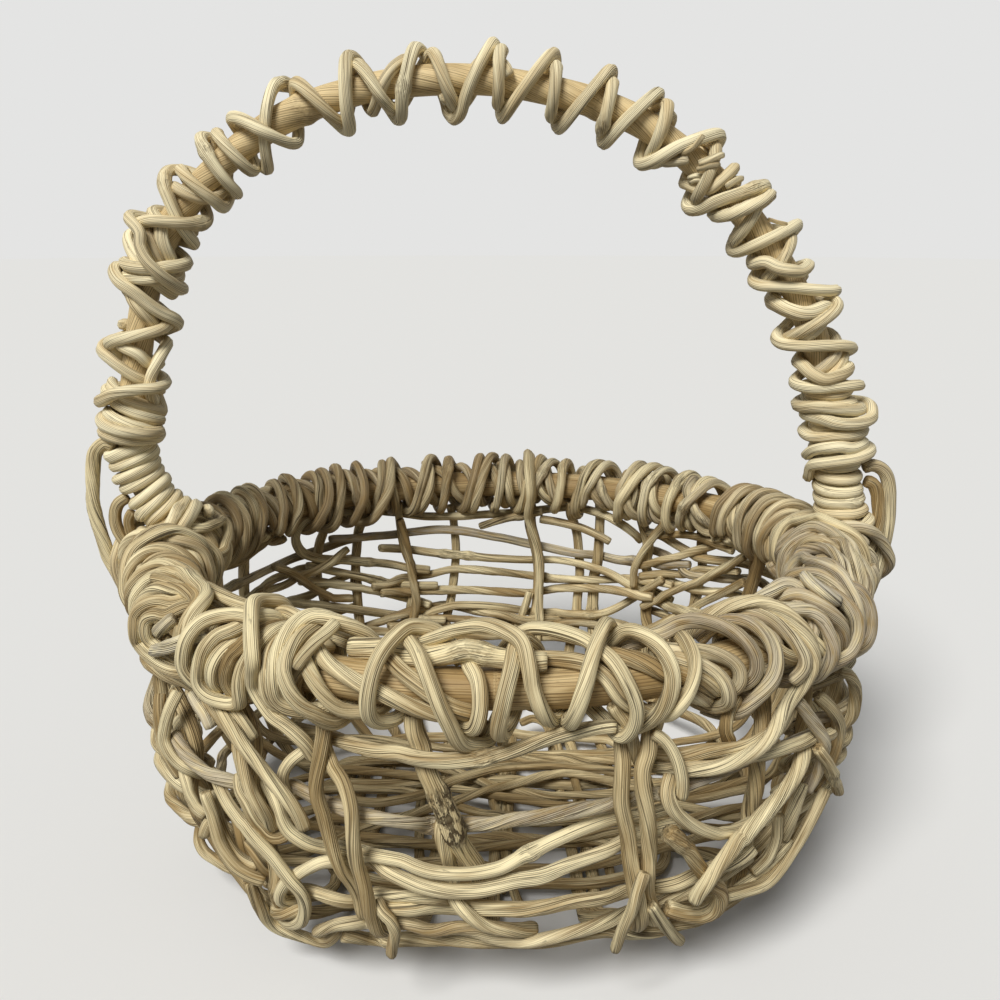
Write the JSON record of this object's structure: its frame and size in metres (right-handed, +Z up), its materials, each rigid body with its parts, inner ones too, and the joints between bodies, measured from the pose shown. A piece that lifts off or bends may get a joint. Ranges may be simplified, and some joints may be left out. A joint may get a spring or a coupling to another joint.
{
  "type": "egg gathering basket",
  "caption": "Round open vine basket with a bound rod rim and a tall rod handle wrapped in crossed vines, for carrying eggs.",
  "frame": {"origin": "on the ground under the middle of the base, on the underside of the middle rib", "axes": "+X along the span of the handle, +Y towards the back, +Z up"},
  "size_m": [0.3783, 0.3005, 0.3639],
  "materials": {
    "peeled_rod": "satin",
    "rib_vine": "matt",
    "weaver_vine": "matt",
    "binding_vine": "matt",
    "handle_vine": "matt",
    "lashing_vine": "matt",
    "thick_vine": "matt"
  },
  "bodies": {
    "root": {"rim_rod": "peeled_rod", "handle_rod": "peeled_rod", "rib_long_1": "rib_vine", "rib_long_2": "rib_vine", "rib_long_3": "rib_vine", "rib_long_4": "rib_vine", "rib_long_5": "rib_vine", "rib_long_6": "rib_vine", "rib_long_7": "rib_vine", "rib_long_8": "rib_vine", "rib_long_9": "rib_vine", "rib_cross_1": "rib_vine", "rib_cross_2": "rib_vine", "rib_cross_3": "rib_vine", "rib_cross_4": "rib_vine", "weaver_row_1": "weaver_vine", "weaver_row_2": "weaver_vine", "weaver_row_3": "weaver_vine", "weaver_row_4": "weaver_vine", "weaver_row_5": "weaver_vine", "weaver_row_6": "weaver_vine", "weaver_row_7": "weaver_vine", "weaver_row_8": "weaver_vine", "base_ring": "weaver_vine", "rim_binding_front": "binding_vine", "rim_crossing_front": "binding_vine", "rim_binding_back": "binding_vine", "rim_crossing_back": "binding_vine", "handle_wrap": "handle_vine", "handle_crossing": "handle_vine", "foot_wrap_left": "handle_vine", "foot_wrap_right": "handle_vine", "lashing_left": "lashing_vine", "lashing_right": "lashing_vine", "ear_left": "thick_vine", "ear_right": "thick_vine", "brace_left": "thick_vine", "brace_right": "thick_vine", "loop_vine": "weaver_vine"}
  },
  "joints": []
}
